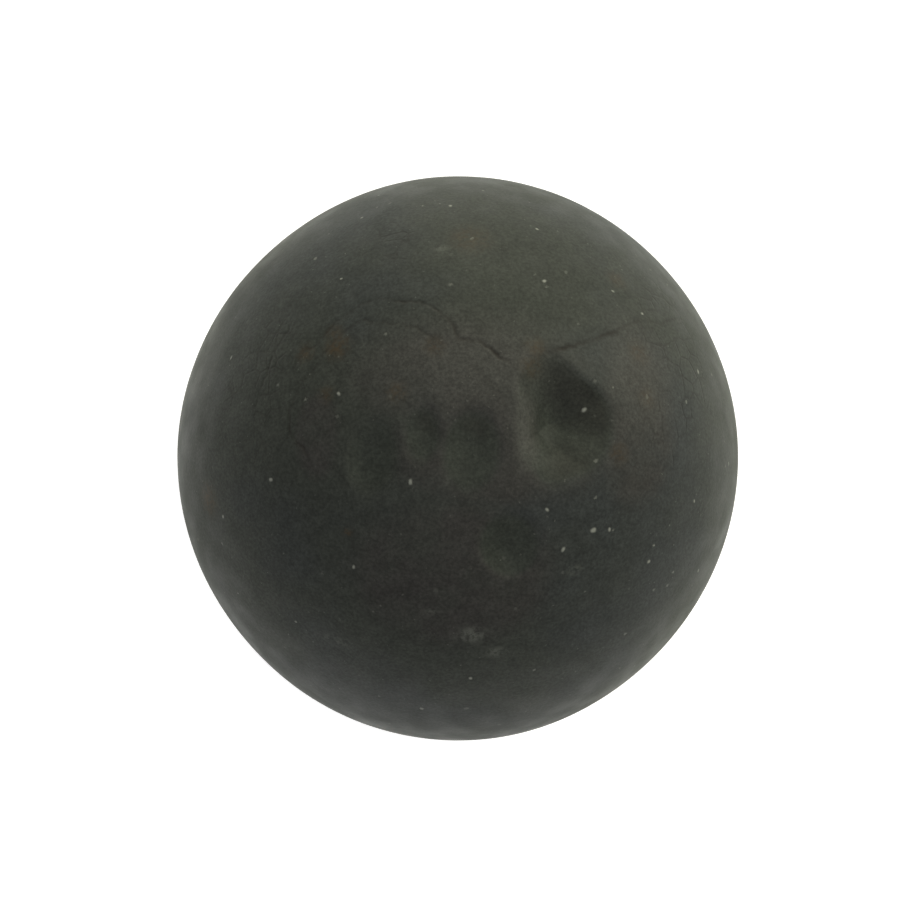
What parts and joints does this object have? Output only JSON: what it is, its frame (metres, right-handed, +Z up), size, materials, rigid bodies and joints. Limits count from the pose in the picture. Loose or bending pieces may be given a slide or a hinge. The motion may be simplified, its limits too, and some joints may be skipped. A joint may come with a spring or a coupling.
{
  "type": "case opening friction ball",
  "caption": "Hollow black rubber ball with a needle valve, pressed and turned by hand on a screw-down watch case back to open or close it.",
  "frame": {"origin": "centre of the flat land round the valve, on the surface that the ball rests on", "axes": "+Z up from the land through the ball's centre; +X towards the thumb dent on top"},
  "size_m": [0.0649, 0.0653, 0.0642],
  "materials": {
    "black_rubber": "matte, slightly dusty",
    "rubber_cement": "satin",
    "valve_rubber": "satin",
    "plug_gum": "matte"
  },
  "bodies": {
    "root": {"upper_half_shell": "black_rubber", "lower_half_shell": "black_rubber", "seam_cement_ring": "rubber_cement", "valve_cement_washer": "rubber_cement", "valve_housing": "valve_rubber", "valve_plug": "plug_gum"}
  },
  "joints": []
}
